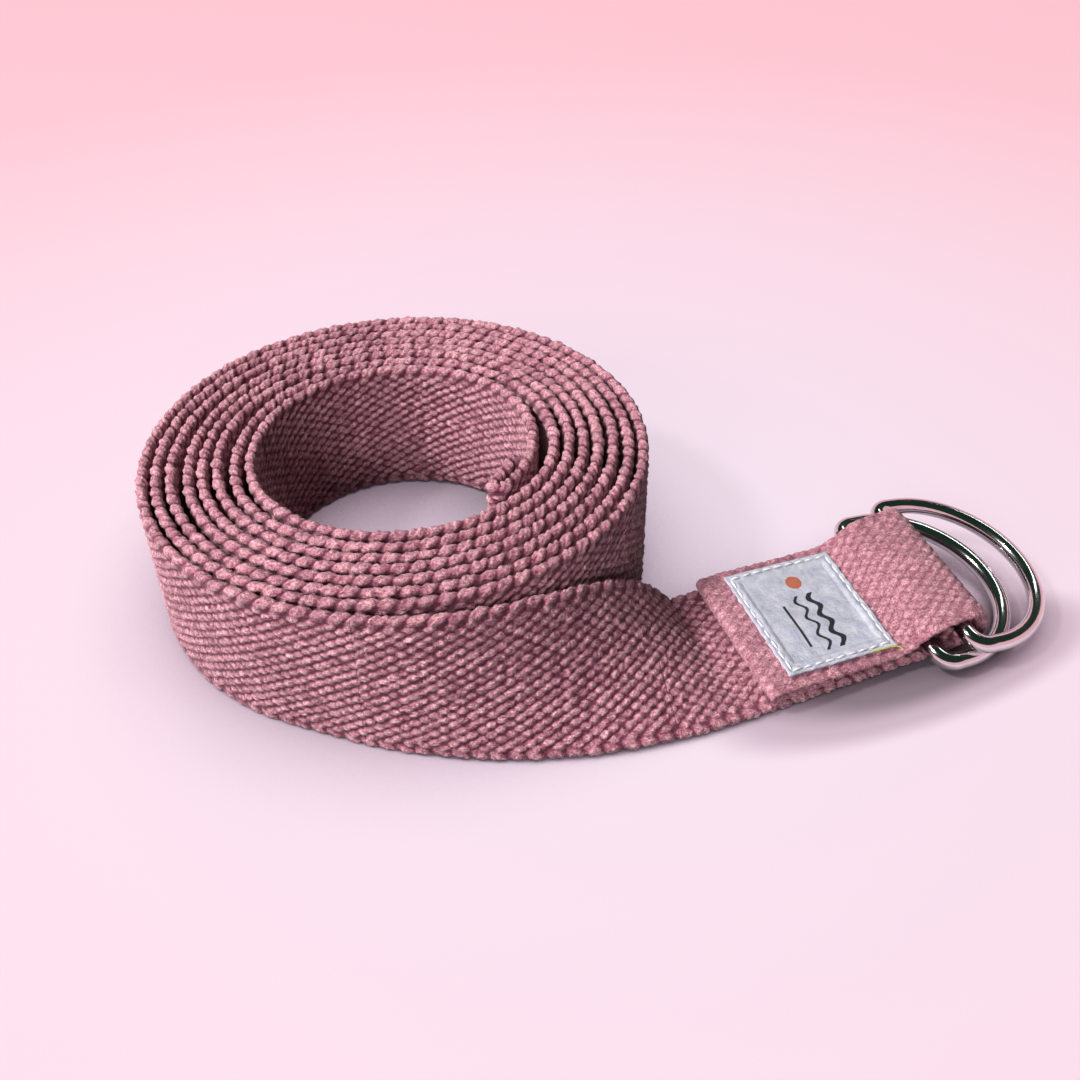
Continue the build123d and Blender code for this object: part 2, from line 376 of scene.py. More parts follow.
def uneven(along, around, size, salt):
    """Soft random unevenness from -1 to 1, with lumps of about the given size."""
    x, y = along / size, around / size
    i, j = np.floor(x), np.floor(y)
    fx, fy = x - i, y - j
    fx, fy = fx * fx * (3 - 2 * fx), fy * fy * (3 - 2 * fy)
    low = chance(i, j, salt) * (1 - fx) + chance(i + 1, j, salt) * fx
    high = chance(i, j + 1, salt) * (1 - fx) + chance(i + 1, j + 1, salt) * fx
    return 2 * (low * (1 - fy) + high * fy) - 1


# %% [markdown]
# ### The cross section
# The builder walks round the webbing's cross section: up the outer face, over the top edge, down the inner
# face and round the bottom edge. A face that can be seen gets a close row of points. A face pressed against
# the next turn gets a few, with close rows only beside the edges, where the eye can look in.


# %% Points round the cross section
def face_rows(kind, edge):
    """Distances from the lower edge of the rows of points on one face."""
    fine_step = 0.32 * MM
    low, high = edge, WEB_WIDTH - edge
    if kind == "fine":
        return np.linspace(low, high, int(round((high - low) / fine_step)) + 1)
    shown = 4.2 * MM if kind == "half" else 2.6 * MM
    top = np.linspace(high - shown, high, int(round(shown / fine_step)) + 1)
    middle = np.linspace(low + 1.6 * MM, high - shown, 9)[1:-1]
    return np.concatenate([[low, low + 0.8 * MM, low + 1.6 * MM], middle, top])


def cross_section(outer, inner):
    """The ring's points (across, thickness, normal, face mark), their run, its whole length, close rows."""
    edge = CORE_HALF
    points = []
    for v in face_rows(outer, edge):
        points.append((v, CORE_HALF, 0.0, 1.0, 1))
    turn_steps = 12
    for k in range(1, turn_steps):
        a = math.pi * k / turn_steps
        top = WEB_WIDTH - edge + edge * math.sin(a)
        points.append((top, CORE_HALF * math.cos(a), math.sin(a), math.cos(a), 0))
    for v in face_rows(inner, edge)[::-1]:
        points.append((v, -CORE_HALF, 0.0, -1.0, -1))
    for k in range(1, turn_steps):
        a = math.pi * k / turn_steps
        points.append((edge - edge * math.sin(a), -CORE_HALF * math.cos(a), -math.sin(a), -math.cos(a), 0))
    ring = [np.array(column) for column in zip(*points)]
    steps = np.hypot(np.diff(ring[0]), np.diff(ring[1]))
    run = np.concatenate([[0.0], np.cumsum(steps)])
    close = float(np.hypot(ring[0][0] - ring[0][-1], ring[1][0] - ring[1][-1]))
    spread = np.diff(np.concatenate([ring[0], ring[0][:1]]))
    fine = (np.abs(spread) < 0.5 * MM) | (ring[4] == 0)
    return ring, run, run[-1] + close, fine


# %% [markdown]
# ### One builder for every stretch
# The builder takes the stations of a stretch and makes one closed mesh: a ring of points at every station,
# quads between rings, and a cap at each end. It also keeps two things for the finish: the place of each point
# on the strap, as a UV map, and a painted groove shade worked out from how high the point stands, so that the
# grooves are painted darker.


# %% The webbing builder
def weave(name, at, point, across, out, outer="fine", inner="fine", press=None):
    """One stretch of webbing as a closed mesh. press thins the yarns, 1 for free webbing."""
    ring, run, around, fine = cross_section(outer, inner)
    v, t, nv, nt, face = ring
    press = np.ones(len(at)) if press is None else press
    s = at[:, None]
    rows = v[None, :]
    top_from_rim = np.where(t > 0, -1, 1) * np.where(
        v > WEB_WIDTH - CORE_HALF, np.arccos(np.clip(nv, -1, 1)) * CORE_HALF,
        WEB_WIDTH - CORE_HALF - v + math.pi / 2 * CORE_HALF)
    low_from_rim = np.where(t > 0, -1, 1) * np.where(
        v < CORE_HALF, np.arccos(np.clip(-nv, -1, 1)) * CORE_HALF,
        v - CORE_HALF + math.pi / 2 * CORE_HALF)
    front, front_yarn = float_height(s, rows, 1)
    back, back_yarn = float_height(-s, rows, 2)
    floats = np.where(face > 0, front, np.where(face < 0, back, 0.0))
    yarn = np.where(face > 0, front_yarn, back_yarn)
    top, top_yarn = bead_height(s, top_from_rim[None, :], 3)
    low, low_yarn = bead_height(s, low_from_rim[None, :], 4)
    beads = np.maximum(top, low)
    bead_yarn = np.where(top > low, top_yarn, low_yarn)
    height = np.maximum(floats * FLOAT_HEIGHT, beads * BEAD_HEIGHT)
    lumps = uneven(s, run[None, :], 1.0 * MM, 21) + 0.8 * uneven(s, run[None, :], 0.55 * MM, 22)
    height = np.clip(height + UNEVEN * lumps * (0.25 + height / FLOAT_HEIGHT), 0.0, None)
    height = np.where(fine[None, :], height, 0.62 * FLOAT_HEIGHT)
    yarn = np.where(beads * BEAD_HEIGHT > floats * FLOAT_HEIGHT, bead_yarn, yarn)
    full = press[:, None]
    lift = height * (0.35 + 0.65 * full)
    core = t[None, :] * (0.55 + 0.45 * full)
    inset = RIM_INSET + v * (1 - 2 * RIM_INSET / WEB_WIDTH)
    side = across[:, None, :] * (inset[None, :] + nv[None, :] * lift)[..., None]
    thick = out[:, None, :] * (core + nt[None, :] * lift)[..., None]
    verts = (point[:, None, :] + side + thick).reshape(-1, 3)
    n, m = len(at), len(v)
    i, j = np.meshgrid(np.arange(n - 1), np.arange(m), indexing="ij")
    nxt = (j + 1) % m
    quads = np.stack([i * m + j, (i + 1) * m + j, (i + 1) * m + nxt, i * m + nxt], -1).reshape(-1, 4)
    mesh = bpy.data.meshes.new(name)
    end_caps = [list(range(m)), [(n - 1) * m + k for k in range(m)][::-1]]
    mesh.from_pydata(verts.tolist(), [], quads.tolist() + end_caps)
    mesh.polygons.foreach_set("use_smooth", [True] * len(quads) + [False, False])
    q0 = run[j]
    q1 = np.where(j + 1 < m, run[nxt], around)
    uv = np.stack([
        np.stack([at[i], q0], -1), np.stack([at[i + 1], q0], -1),
        np.stack([at[i + 1], q1], -1), np.stack([at[i], q1], -1)], 2).reshape(-1, 2)
    caps = np.concatenate([np.stack([np.full(m, at[0]), run], -1), np.stack([np.full(m, at[-1]), run], -1)])
    layer = mesh.uv_layers.new(name="strap_place")
    layer.data.foreach_set("uv", np.concatenate([uv, caps]).astype(np.float32).ravel() * 100.0)
    # Painted groove shade: 1 on the crowns, lower where the point sits deep between the yarns, so the finish
    # paints it darker.
    depth = 1.0 - (1.0 - np.clip(height / FLOAT_HEIGHT, 0.0, 1.0)) * (0.35 + 0.65 * full)
    # Painted shade: the edge beads, whose tops catch the most light, are painted darker. The colour is also
    # darker where the webbing is pressed.
    depth = depth * np.where(beads * BEAD_HEIGHT > floats * FLOAT_HEIGHT, 0.80, 1.0) * (0.80 + 0.20 * full)
    for label, values in (("painted_groove_shade", depth), ("yarn_number", yarn)):
        attribute = mesh.attributes.new(label, "FLOAT", "POINT")
        attribute.data.foreach_set("value", values.astype(np.float32).ravel())
    mesh.validate()
    obj = bpy.data.objects.new(name, mesh)
    bpy.context.scene.collection.objects.link(obj)
    print(name, "stations", n, "ring", m, "triangles", 2 * len(quads))
    return obj


# %% [markdown]
# ## The cotton finish
# Cotton scatters light, so the surface is rough with a soft sheen and almost no gloss. The dye is a dusty
# rose. On top of it, a painted highlight makes the crowns pale and slightly greyed, where loose fibres catch
# the light, and a painted shade makes the grooves a deep wine red. Fine streaks along the yarn stand for its
# twisted fibres, and dark specks for the small gaps between loose ones.

# %% Cotton webbing finish
cotton, cotton_shader = new_finish("cotton_webbing")
cotton_groove_shade = add_node(cotton, "ShaderNodeAttribute", attribute_name="painted_groove_shade").outputs["Fac"]
cotton_number = add_node(cotton, "ShaderNodeAttribute", attribute_name="yarn_number").outputs["Fac"]
cotton_uv = add_node(cotton, "ShaderNodeUVMap", uv_map="strap_place").outputs["UV"]
cotton_place = add_node(cotton, "ShaderNodeTexCoord").outputs["Object"]
# The rose dye, with painted shade in the grooves and painted highlight on the crowns.
dye_with_painted_shade = ramp(cotton, cotton_groove_shade, [
    (0.0, (0.15, 0.034, 0.062, 1)), (0.25, (0.33, 0.115, 0.158, 1)),
    (0.55, (0.47, 0.215, 0.255, 1)), (1.0, (0.61, 0.335, 0.372, 1))])
number_tone = ramp(cotton, cotton_number, [(0.0, (0.84, 0.82, 0.84, 1)), (1.0, (1.10, 1.11, 1.10, 1))])
per_yarn = mix(cotton, "MULTIPLY", 1.0, dye_with_painted_shade, number_tone)
fibre_map = add_node(cotton, "ShaderNodeMapping", inputs={"Vector": cotton_uv},
                     values={"Rotation": (0, 0, math.radians(24)), "Scale": (9.0, 27.0, 1.0)})
fibres = noise(cotton, fibre_map.outputs["Vector"], 1.0, 3.0, 0.7)
fibre_tone = ramp(cotton, fibres, [(0.34, (0.62, 0.55, 0.60, 1)), (0.66, (1.32, 1.38, 1.34, 1))])
with_fibres = mix(cotton, "MULTIPLY", 0.85, per_yarn, fibre_tone)
fluff = noise(cotton, cotton_place, 1500.0, 3.0, 0.75)
fluff_tone = ramp(cotton, fluff, [(0.36, (0.62, 0.56, 0.60, 1)), (0.66, (1.36, 1.42, 1.38, 1))])
with_fluff = mix(cotton, "MULTIPLY", 1.0, with_fibres, fluff_tone)
wear = noise(cotton, cotton_place, 55.0, 3.0, 0.55)
wear_tone = ramp(cotton, wear, [(0.30, (0.93, 0.90, 0.92, 1)), (0.72, (1.08, 1.07, 1.07, 1))])
with_wear = mix(cotton, "MULTIPLY", 1.0, with_fluff, wear_tone)
speckle = noise(cotton, cotton_place, 3600.0, 2.0, 0.6)
speckle_tone = ramp(cotton, speckle, [
    (0.34, (0.34, 0.25, 0.31, 1)), (0.47, (1.0, 1.0, 1.0, 1)), (0.72, (1.30, 1.34, 1.32, 1))])
cotton_colour = mix(cotton, "MULTIPLY", 0.85, with_wear, speckle_tone)
cotton.node_tree.links.new(cotton_colour, cotton_shader.inputs["Base Color"])
fine_bump = bumped(cotton, fibres, 0.9, 0.00035)
fluff_bump = bumped(cotton, fluff, 0.9, 0.00040, fine_bump)
cotton.node_tree.links.new(fluff_bump, cotton_shader.inputs["Normal"])
cotton_shader.inputs["Roughness"].default_value = 0.92
cotton_shader.inputs["Specular IOR Level"].default_value = 0.18
cotton_shader.inputs["Sheen Weight"].default_value = 0.25
cotton_shader.inputs["Sheen Roughness"].default_value = 0.45
cotton_shader.inputs["Sheen Tint"].default_value = (0.95, 0.72, 0.78, 1.0)
print("cotton finish has", len(cotton.node_tree.nodes), "nodes")

# %% [markdown]
# ## Weaving the coil
# The coil is cut into pieces of a size that is easy to handle. The outer turn shows its outer face and the
# innermost turn its inner face, so those are fine. All the turns between show only their edges.


# %% Coil pieces
JOINT_REACH = 18.0 * MM
SETTLE_LENGTH = 0.05
INNER_FACE_LENGTH = 0.215
FRONT_SHARE, OUTER_SHARE = 0.5, 1.03


def lift_of_turns(at):
    """Each turn stands a little higher or lower than its neighbours."""
    wave = np.sin(at / 0.071) + 0.6 * np.sin(at / 0.043 + 1.3)
    return 0.18 * MM * (wave + 1.6)


def coil_stations(first, last):
    """Stations of a stretch of the coil, from one distance to another."""
    chosen = slice(int(round(first / STATION)), int(round(last / STATION)) + 1)
    at = coil_at[chosen]
    plan, out2 = coil_line[chosen], coil_out[chosen]
    settle = np.clip((COIL_LENGTH - at) / SETTLE_LENGTH, 0.0, 1.0)
    point = np.column_stack([plan, lift_of_turns(at) * settle])
    across = np.tile([0.0, 0.0, 1.0], (len(at), 1))
    return at, point, across, np.column_stack([out2, np.zeros(len(at))])


def cotton_piece(obj):
    """The finish that every piece of webbing shares."""
    obj.data.materials.append(cotton)
    return obj


outer_turn = 2 * math.pi * COIL_RADIUS
cuts = [COIL_LENGTH - JOINT_REACH]
cuts += [COIL_LENGTH - share * outer_turn for share in (FRONT_SHARE, OUTER_SHARE)]
remaining = cuts[-1] - INNER_FACE_LENGTH
cuts += [cuts[-1] - remaining * share for share in (1 / 3, 2 / 3, 1.0)]
cuts.append(0.0)
coil_kinds = {
    "coil_outer_front": ("fine", "half"), "coil_outer_back": ("fine", "half"),
    "coil_turns_outer": ("rim", "half"), "coil_turns_middle": ("rim", "rim"),
    "coil_turns_inner": ("rim", "half"), "coil_inner_face": ("half", "fine")}
for (name, (outer, inner)), last, first in zip(coil_kinds.items(), cuts, cuts[1:]):
    at, point, across, out = coil_stations(first, last)
    piece = weave("webbing_" + name, at, point, across, out, outer, inner)
    cotton_piece(piece)
    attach(piece, "coil")
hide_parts("webbing_coil")

# %% [markdown]
# ### The tail's hem
# The inner end is turned back on itself towards the middle of the coil and sewn, so that the cut cannot
# fray. The hem is drawn beside the tail: how far along, and how far in.

# %% Tail hem
tail_plan = Vector(coil_line[0]) - Vector(coil_centre[:2])
tail_radius = tail_plan.length
tail_angle = math.atan2(tail_plan.y, tail_plan.x)
HEM_PLUMPNESS = 1.45
hem_corners = [
    (11.5, 2.6), (9.5, 3.1), (4.0, 3.2), (-0.4, 3.25), (-2.6, 2.4), (-2.6, 0.8), (-0.8, 0.0), (0.0, 0.0)]
hem_along, hem_in = (rounded(hem_corners, 3) * MM).T
hem_plan = on_plan(np.array(coil_centre[:2]), tail_radius - hem_in, tail_angle + hem_along / tail_radius)
hem_line, hem_run = resample(hem_plan, STATION)
hem_run = hem_run - hem_run[-1]
hem_point = np.column_stack([hem_line, np.full(len(hem_line), lift_of_turns(0.0))])
hem_out = np.column_stack([side_directions(hem_line), np.zeros(len(hem_line))])
hem_across = np.tile([0.0, 0.0, 1.0], (len(hem_run), 1))
plump = np.full(len(hem_run), HEM_PLUMPNESS)
tail_hem = weave("webbing_tail_hem", hem_run, hem_point, hem_across, hem_out, press=plump)
cotton_piece(tail_hem)
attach(tail_hem, "coil")

# %% [markdown]
# ## Turning over towards the rings
# Two short pieces cross the places where the webbing bends, and a longer one lies between them. The crossing
# pieces are baked in place and fixed to no body; the one between follows the lead.

# %% Crossing pieces and the stretch between
at, point, across, out = coil_stations(COIL_LENGTH - JOINT_REACH, COIL_LENGTH)
reach = np.arange(STATION, JOINT_REACH, STATION)
p2, a2, o2 = lead_stations(reach)
mouth = weave("webbing_mouth", np.concatenate([at, COIL_LENGTH + reach]), np.concatenate([point, p2]),
              np.concatenate([across, a2]), np.concatenate([out, o2]))
cotton_piece(mouth)
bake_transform(mouth)

LIFT_REACH = 16.0 * MM
middle = np.concatenate([[reach[-1]], np.arange(reach[-1] + STATION, LEAD_LENGTH - LIFT_REACH, STATION)])
p3, a3, o3 = lead_stations(middle)
lead = weave("webbing_turning_over", COIL_LENGTH + middle, p3, a3, o3)
cotton_piece(lead)
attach(lead, "lead")
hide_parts("webbing_lead")

# %% [markdown]
# ## The sewn loop
# Seen from its edge, the loop is one line: along the bottom, round the fold that holds the rings, back down
# to the seam, up the sewn layer to the hem, and under itself where the cut end is turned in. The line is
# drawn with a few points and rounded by cutting its corners, as a pressed fold is round.


# %% The loop's line
JOIN_AT = 4.0
loop_corners = [
    (JOIN_AT, 1.4), (20.0, 1.4), (42.0, 1.35), (52.0, 1.35), (60.0, 1.35), (65.6, 1.9), (66.0, 6.2),
    (64.6, 11.0), (58.0, 11.7), (50.5, 10.6), (46.6, 7.4), (42.8, 4.45), (36.0, 4.9), (20.0, 5.8),
    (9.2, 6.45), (7.2, 6.3), (7.2, 4.2), (9.0, 3.95), (15.0, 3.9), (24.0, 3.85)]
loop_line, loop_run = resample(rounded(loop_corners, 4) * MM, STATION)


def loop_stations(line):
    """Lower edge points, width directions and outward directions along the loop's line."""
    slope = np.gradient(line, axis=0)
    slope /= np.linalg.norm(slope, axis=1)[:, None]
    u, w, m = (np.array(x) for x in (loop_along, end_across, end_out))
    point = np.array(loop_origin) + line[:, :1] * u + line[:, 1:] * m
    out = slope[:, :1] * m - slope[:, 1:] * u
    across = np.tile(w, (len(line), 1))
    return point, across, out


loop_point, loop_across, loop_out = loop_stations(loop_line)
back_again = loop_run > loop_run[np.argmax(loop_line[:, 0])]
under_label = back_again & (loop_line[:, 0] < 43.0 * MM)
at_hem = back_again & (loop_line[:, 0] < 12.0 * MM)
PRESS_HEM, PRESS_UNDER_LABEL, PRESS_SEWN, PRESS_BELOW = 0.15, 0.40, 0.34, 0.92
press = np.where(back_again, PRESS_SEWN, PRESS_BELOW)
press = np.where(at_hem, PRESS_HEM, np.where(under_label, PRESS_UNDER_LABEL, press))
press = smooth(press, 6)
loop_at = COIL_LENGTH + LEAD_LENGTH + JOIN_AT * MM + loop_run
loop = weave("webbing_sewn_loop", loop_at, loop_point, loop_across, loop_out, press=press)
cotton_piece(loop)
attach(loop, "loop")
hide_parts("webbing_loop")

before = np.concatenate([middle[-1:], np.arange(middle[-1] + STATION, LEAD_LENGTH, STATION)])
p4, a4, o4 = lead_stations(before)
onward = np.arange(STATION, JOIN_AT * MM + STATION, STATION)
flat_line = np.stack([onward, np.full_like(onward, WEB_THICK / 2)], -1)
p5, a5, o5 = loop_stations(flat_line)
bend_at = np.concatenate([COIL_LENGTH + before, COIL_LENGTH + LEAD_LENGTH + onward])
bend = weave("webbing_before_loop", bend_at,
             np.concatenate([p4, p5]), np.concatenate([a4, a5]), np.concatenate([o4, o5]),
             press=np.linspace(1.0, PRESS_BELOW, len(bend_at)))
cotton_piece(bend)
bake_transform(bend)

# %% [markdown]
# ## The label
# The label is cotton satin with its edges folded under, so it is thicker round the rim and pulled down
# along the seam. It starts as a fine grid, is given its thickness, and then every point is lifted by the
# fold, the seam and the soft creases. Its mark is plain: two waves, a rule and a sun.

# %% Label cloth
LABEL_LONG, LABEL_WIDE = 30.0 * MM, 32.0 * MM
LABEL_START, LABEL_EDGE = 12.2 * MM, 3.1 * MM
LABEL_TURN = math.radians(-0.5)
SEAM_INSET = 1.3 * MM
HEM_CREST, HEM_TOP, SEAM_AT, SEAM_TOP = 8.1 * MM, 7.6 * MM, 42.5 * MM, 5.6 * MM
layer_slope = (HEM_TOP - SEAM_TOP) / (SEAM_AT - HEM_CREST)
loop_frame = Matrix((loop_along, end_across, end_out)).transposed().to_4x4()
loop_frame.translation = loop_origin
label_height = HEM_TOP - layer_slope * (LABEL_START - HEM_CREST)
label_frame = (loop_frame @ Matrix.Translation((LABEL_START, LABEL_EDGE, label_height))
               @ Matrix.Rotation(math.atan(layer_slope), 4, "Y") @ Matrix.Rotation(LABEL_TURN, 4, "Z"))


def points_of(mesh):
    """All points of a mesh as an array."""
    flat = np.empty(len(mesh.vertices) * 3)
    mesh.vertices.foreach_get("co", flat)
    return flat.reshape(-1, 3)


def placed(points, place):
    """Points carried into the frame by a matrix."""
    matrix = np.array(place)
    return points @ matrix[:3, :3].T + matrix[:3, 3]


def label_lift(x, y):
    """Height of the cloth over its bed at places on the label."""
    rim = np.minimum(np.minimum(x, LABEL_LONG - x), np.minimum(y, LABEL_WIDE - y))
    folded = 0.38 * MM * (1.0 - np.clip((rim - 2.6 * MM) / (0.9 * MM), 0.0, 1.0))
    seam = 0.42 * MM * np.exp(-((rim - SEAM_INSET) / (0.42 * MM)) ** 2)
    pull = 0.75 + 0.25 * np.cos(2 * math.pi * (x + y) / (3.4 * MM))
    rolled = -0.30 * MM * np.clip(1.0 - rim / (0.45 * MM), 0.0, 1.0) ** 2
    broad = 0.17 * MM * uneven(x + 0.4 * y, y, 6.0 * MM, 31)
    creases = broad + 0.09 * MM * uneven(x, y - 0.5 * x, 2.7 * MM, 32)
    drag = 0.07 * MM * np.sin(2 * math.pi * (x - y) / (2.9 * MM)) * np.exp(-rim / (3.0 * MM))
    return folded - seam * pull + rolled + creases + drag


bpy.ops.mesh.primitive_grid_add(x_subdivisions=130, y_subdivisions=138, size=1.0, location=(0, 0, 0))
label = bpy.context.object
label.name = "label_cloth"
bpy.ops.object.mode_set(mode="EDIT")
bpy.ops.mesh.select_all(action="SELECT")
bpy.ops.transform.resize(value=(LABEL_LONG, LABEL_WIDE, 1.0))
bpy.ops.transform.translate(value=(LABEL_LONG / 2, LABEL_WIDE / 2, 0.0))
bpy.ops.object.mode_set(mode="OBJECT")
thicken = label.modifiers.new("thicken", "SOLIDIFY")
thicken.thickness = 0.40 * MM
thicken.offset = 1.0
bpy.ops.object.modifier_apply(modifier=thicken.name)
flat = points_of(label.data)
x, y, z = flat.T
upper = z > -0.1 * MM
lift = label_lift(x, y)
from_middle = x - LABEL_LONG / 2
at_end = np.abs(from_middle) > 14 * MM
scallop = 0.10 * MM * np.cos(2 * math.pi * y / (3.4 * MM)) * np.sign(from_middle) * at_end
shaped = np.column_stack([x + scallop, y, np.where(upper, 0.50 * MM + lift, 0.10 * MM + 0.5 * lift)])
label.data.vertices.foreach_set("co", placed(shaped, label_frame).ravel())
cloth_uv = label.data.uv_layers.new(name="label_place")
corner_points = np.empty(len(label.data.loops), int)
label.data.loops.foreach_get("vertex_index", corner_points)
cloth_uv.data.foreach_set("uv", (flat[corner_points, :2] * 100.0).astype(np.float32).ravel())
bpy.ops.object.shade_smooth()
print("label triangles", 2 * len(label.data.polygons))

# %% [markdown]
# ### The label's finish
# The cloth is off-white with a cool cast, and painted shade makes it greyer in the creases; its fine weave
# runs square to the edges. The mark is printed, so it is drawn in the colour: each part of it is a distance
# on the label, turned into ink where the distance is small, and the weave breaks up the edge of the ink a
# little.


# %% Label finish
def calc(material, operation, first, second=0.0, third=None):
    """One sum on numbers or sockets."""
    node = add_node(material, "ShaderNodeMath", operation=operation)
    for socket, value in zip(node.inputs, (first, second) if third is None else (first, second, third)):
        if isinstance(value, bpy.types.NodeSocket):
            material.node_tree.links.new(value, socket)
        else:
            socket.default_value = value
    return node.outputs[0]


cloth, cloth_shader = new_finish("label_cloth")
cloth_place = add_node(cloth, "ShaderNodeUVMap", uv_map="label_place").outputs["UV"]
place_parts = add_node(cloth, "ShaderNodeSeparateXYZ", inputs={"Vector": cloth_place})
x_cm, y_cm = place_parts.outputs["X"], place_parts.outputs["Y"]
ink_break = noise(cloth, cloth_place, 55.0, 2.0)
ragged = calc(cloth, "MULTIPLY_ADD", ink_break, 0.035, -0.0175)


def inked(distance, half_width):
    """1 where a distance is within the half width of a line, with a ragged edge."""
    return calc(cloth, "LESS_THAN", calc(cloth, "ADD", distance, ragged), half_width)


def band(value, low, high):
    """1 where a value lies between two limits."""
    above = calc(cloth, "GREATER_THAN", value, low)
    return calc(cloth, "MULTIPLY", above, calc(cloth, "LESS_THAN", value, high))


def wave_line(centre, height, length, half_width, shift):
    """A wave that runs across the webbing, as ink."""
    angle = calc(cloth, "MULTIPLY_ADD", y_cm, 2 * math.pi / length, shift)
    bend = calc(cloth, "MULTIPLY_ADD", calc(cloth, "SINE", angle), height, centre)
    return inked(calc(cloth, "ABSOLUTE", calc(cloth, "SUBTRACT", x_cm, bend)), half_width)


thick_wave = wave_line(1.80, 0.085, 0.52, 0.075, 0.0)
waves = calc(cloth, "MAXIMUM", thick_wave, wave_line(1.42, 0.085, 0.52, 0.045, 0.0))
waves = calc(cloth, "MULTIPLY", waves, band(y_cm, 0.42, 2.12))
rule = calc(cloth, "MULTIPLY", inked(calc(cloth, "ABSOLUTE", calc(cloth, "SUBTRACT", x_cm, 0.98)), 0.034),
            band(y_cm, 0.62, 1.92))
dark_ink = calc(cloth, "MAXIMUM", waves, rule)
sun_x, sun_y = calc(cloth, "SUBTRACT", x_cm, 1.62), calc(cloth, "SUBTRACT", y_cm, 2.52)
sun_x_squared = calc(cloth, "MULTIPLY", sun_x, sun_x)
sun_squared = calc(cloth, "ADD", sun_x_squared, calc(cloth, "MULTIPLY", sun_y, sun_y))
sun = inked(calc(cloth, "SQRT", sun_squared), 0.20)
satin_map = add_node(cloth, "ShaderNodeMapping", inputs={"Vector": cloth_place},
                     values={"Scale": (60.0, 22.0, 1.0)})
satin = noise(cloth, satin_map.outputs["Vector"], 1.0, 3.0, 0.6)
creased = noise(cloth, cloth_place, 3.2, 4.0)
# Painted shade: the cloth is greyer where the crease noise is low, in the hollows of the same creases that
# bump it.
crease_shaded_cloth_tone = ramp(cloth, creased, [(0.30, (0.66, 0.70, 0.82, 1)), (0.68, (0.88, 0.90, 0.97, 1))])
satin_tone = ramp(cloth, satin, [(0.3, (0.84, 0.84, 0.86, 1)), (0.7, (1.12, 1.12, 1.10, 1))])
plain_cloth = mix(cloth, "MULTIPLY", 1.0, crease_shaded_cloth_tone, satin_tone)
with_sun = mix(cloth, "MIX", sun, plain_cloth, (0.72, 0.22, 0.13, 1))
printed = mix(cloth, "MIX", dark_ink, with_sun, (0.020, 0.022, 0.035, 1))
cloth.node_tree.links.new(printed, cloth_shader.inputs["Base Color"])
crease_bump = bumped(cloth, creased, 0.7, 0.0009)
satin_bump = bumped(cloth, satin, 0.5, 0.00012, crease_bump)
cloth.node_tree.links.new(satin_bump, cloth_shader.inputs["Normal"])
cloth_shader.inputs["Roughness"].default_value = 0.62
cloth_shader.inputs["Sheen Weight"].default_value = 0.2
label.data.materials.append(cloth)
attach(label, "loop")
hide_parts("label_patch")

# %% [markdown]
# ## Stitches
# A lockstitch shows as a short bar of thread that dips into the cloth at both ends. One stitch is modelled
# from a small ball, stretched and bent, and the seams are rows of its copies.


# %% Threads
def thread_finish(name, pale, deep):
    """Spun thread: a little fuzzy, with fine mottling for its twist."""
    material, shader = new_finish(name)
    place = add_node(material, "ShaderNodeTexCoord").outputs["Object"]
    twist = noise(material, place, 2600.0, 2.0, 0.6)
    tone = ramp(material, twist, [(0.3, deep), (0.7, pale)])
    material.node_tree.links.new(tone, shader.inputs["Base Color"])
    material.node_tree.links.new(bumped(material, twist, 0.6, 0.0001), shader.inputs["Normal"])
    shader.inputs["Roughness"].default_value = 0.7
    return material


white_thread = thread_finish("white_thread", (0.88, 0.88, 0.90, 1), (0.55, 0.55, 0.60, 1))
rose_thread = thread_finish("rose_thread", (0.60, 0.30, 0.36, 1), (0.34, 0.13, 0.18, 1))
lime_thread = thread_finish("lime_thread", (0.66, 0.66, 0.16, 1), (0.34, 0.32, 0.07, 1))

THREAD = 0.62 * MM
STITCH = 2.5 * MM
LABEL_STITCH_STEP = 3.0 * MM
bpy.ops.mesh.primitive_uv_sphere_add(segments=8, ring_count=7, radius=0.5, location=(0, 0, 0),
                                     rotation=(0, math.pi / 2, 0))
one_stitch = bpy.context.object
bpy.ops.object.transform_apply(location=False, rotation=True, scale=False)
stitch_points = points_of(one_stitch.data)
reach_along = 2.0 * stitch_points[:, 0]
stitch_points = stitch_points * np.array([STITCH, THREAD, THREAD])
stitch_points[:, 2] -= 0.16 * MM * reach_along ** 2
stitch_faces = [tuple(p.vertices) for p in one_stitch.data.polygons]
bpy.data.objects.remove(one_stitch)


def seam_piece(name, places, material, node, body):
    """Copies of the stitch at the given places, as one piece."""
    points, faces = [], []
    for place in places:
        faces += [tuple(v + len(points) * len(stitch_points) for v in face) for face in stitch_faces]
        points.append(placed(stitch_points, place))
    mesh = bpy.data.meshes.new(name)
    mesh.from_pydata(np.concatenate(points).tolist(), [], faces)
    mesh.polygons.foreach_set("use_smooth", [True] * len(faces))
    mesh.materials.append(material)
    obj = bpy.data.objects.new(name, mesh)
    bpy.context.scene.collection.objects.link(obj)
    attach(obj, body)
    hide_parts(node)
    print(name, len(places), "stitches")
    return obj


